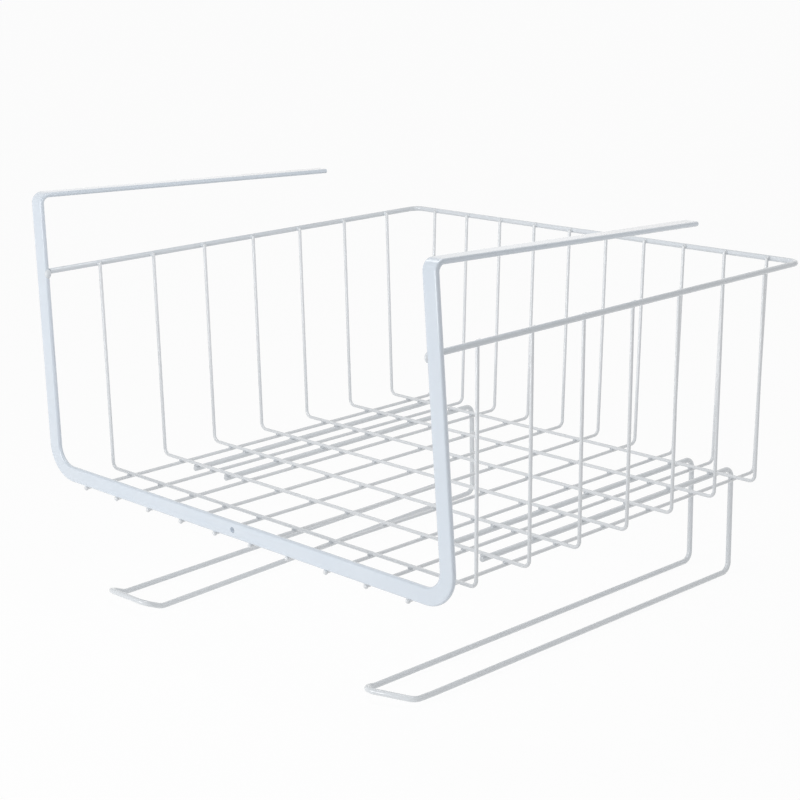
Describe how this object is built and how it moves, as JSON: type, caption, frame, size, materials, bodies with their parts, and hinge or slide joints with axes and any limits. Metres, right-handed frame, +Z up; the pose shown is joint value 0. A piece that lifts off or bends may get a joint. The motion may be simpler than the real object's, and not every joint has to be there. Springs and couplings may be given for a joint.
{
  "type": "under-shelf wire basket",
  "caption": "Open-front wire basket on a bent flat-bar frame whose two arms slide over a shelf, with wire loops hanging below the basket floor.",
  "frame": {"origin": "middle of the footprint, at the level the loops stand on", "axes": "+X to the right along the front, +Y from the open front to the back, +Z up"},
  "size_m": [0.4146, 0.3804, 0.2986],
  "materials": {
    "white_coat": "satin white powder coat"
  },
  "bodies": {
    "root": {"front_frame": "white_coat", "rim_wire": "white_coat", "cross_wire_1": "white_coat", "cross_wire_2": "white_coat", "cross_wire_3": "white_coat", "cross_wire_4": "white_coat", "cross_wire_5": "white_coat", "cross_wire_6": "white_coat", "cross_wire_7": "white_coat", "floor_wire_1": "white_coat", "floor_wire_2": "white_coat", "floor_wire_3": "white_coat", "floor_wire_4": "white_coat", "floor_wire_5": "white_coat", "floor_wire_6": "white_coat", "floor_wire_7": "white_coat", "floor_wire_8": "white_coat", "floor_wire_9": "white_coat", "floor_wire_10": "white_coat", "left_loop": "white_coat", "right_loop": "white_coat"}
  },
  "joints": []
}
